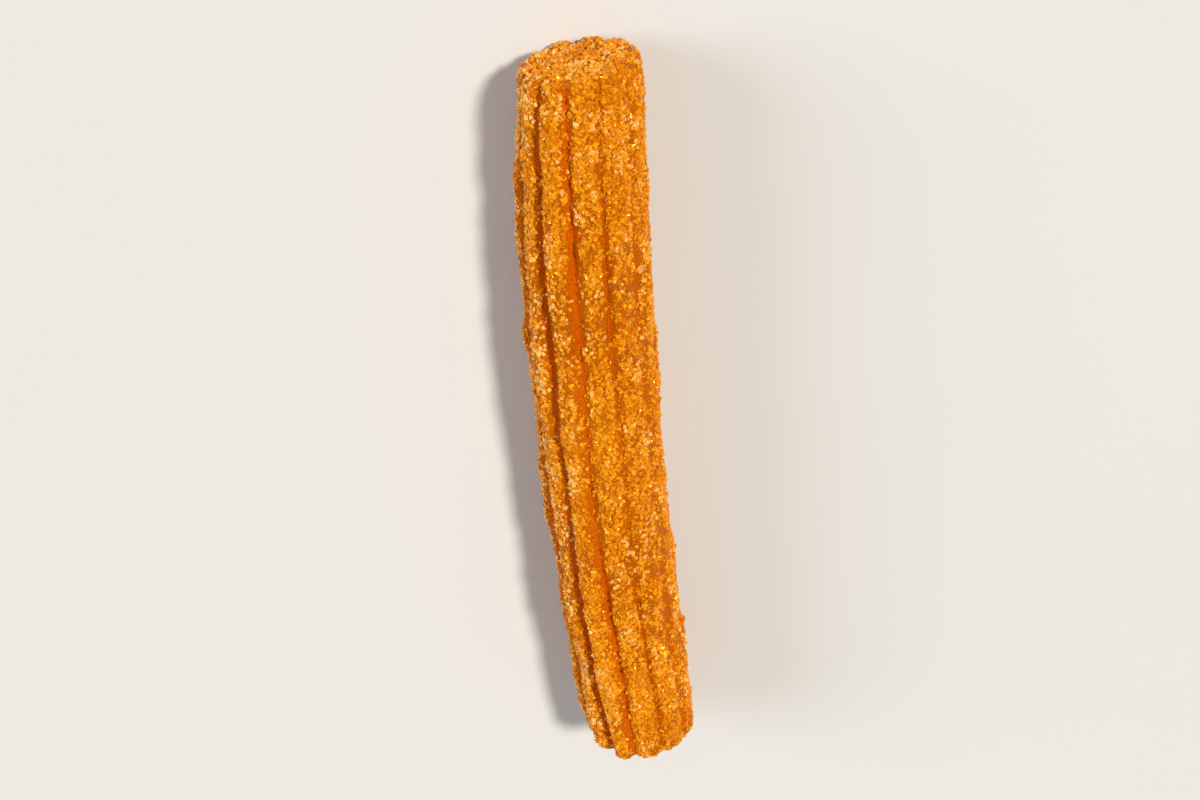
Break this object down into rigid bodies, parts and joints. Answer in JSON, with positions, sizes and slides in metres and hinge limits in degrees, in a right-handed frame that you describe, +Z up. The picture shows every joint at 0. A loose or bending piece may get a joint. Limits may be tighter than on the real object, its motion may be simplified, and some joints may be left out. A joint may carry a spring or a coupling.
{
  "type": "churro",
  "caption": "Straight ridged churro with cut ends, fried golden and rolled in coarse cinnamon sugar, lying on its side.",
  "frame": {"origin": "under the middle of the churro, on the surface that it lies on", "axes": "+Y along the churro towards its slimmer end, +Z up, the side shown in use up"},
  "size_m": [0.0242, 0.1366, 0.0218],
  "materials": {
    "fried_dough": "golden-brown fried choux dough, slightly oily, smoother and darker in the grooves",
    "sugar": "coarse sugar crystals that sparkle, tinted by cinnamon and the frying oil",
    "cinnamon": "dull red-brown specks of ground cinnamon among the sugar"
  },
  "bodies": {
    "root": {"churro": "fried_dough"}
  },
  "joints": []
}
